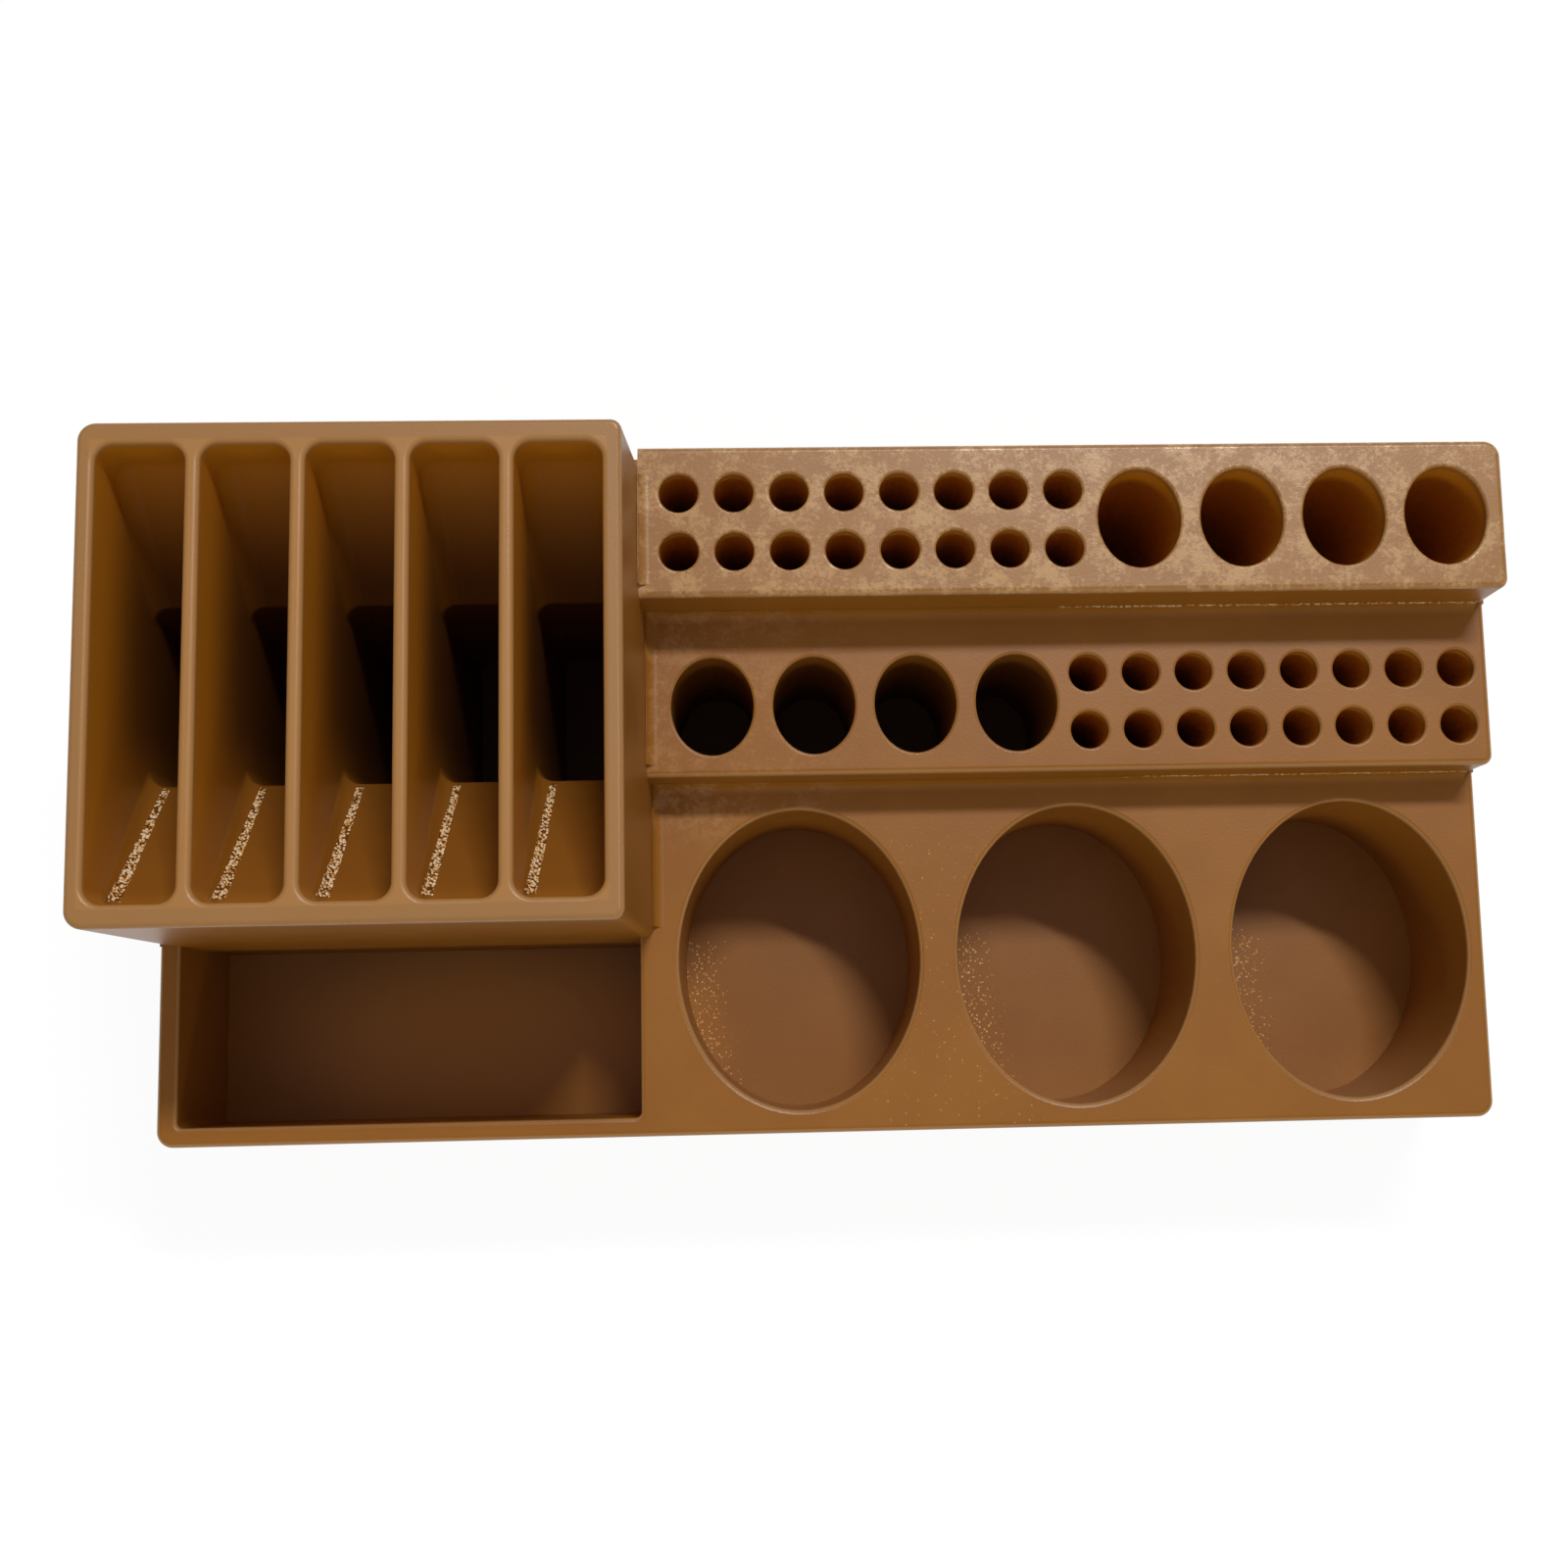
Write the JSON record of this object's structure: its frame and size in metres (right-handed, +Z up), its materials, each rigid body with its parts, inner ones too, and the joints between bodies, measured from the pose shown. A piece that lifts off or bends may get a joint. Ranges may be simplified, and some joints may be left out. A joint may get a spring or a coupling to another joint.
{
  "type": "tool storage caddy",
  "caption": "Stepped brown plastic desk caddy: a slotted pliers box, drilled racks for handles, round cups and an open tray on one floor plate.",
  "frame": {"origin": "middle of the footprint, on the plane the feet stand on", "axes": "+X to the right along the racks, +Y to the back, +Z up"},
  "size_m": [0.264, 0.1316, 0.0948],
  "materials": {
    "plate_plastic": "satin moulded brown plastic",
    "box_plastic": "satin moulded brown plastic",
    "rack_plastic": "satin moulded brown plastic",
    "frame_plastic": "satin moulded brown plastic",
    "screw_steel": "plain zinc-plated steel",
    "foot_rubber": "matt black rubber"
  },
  "bodies": {
    "root": {"base_plate": "plate_plastic", "pliers_box": "box_plastic", "upper_rack": "rack_plastic", "middle_rack": "rack_plastic", "cup_tray_frame": "frame_plastic", "pliers_box_screws": "screw_steel", "upper_rack_screws": "screw_steel", "middle_rack_screws": "screw_steel", "frame_screws": "screw_steel", "foot_front_left": "foot_rubber", "foot_front_right": "foot_rubber", "foot_back_left": "foot_rubber", "foot_back_right": "foot_rubber"}
  },
  "joints": []
}
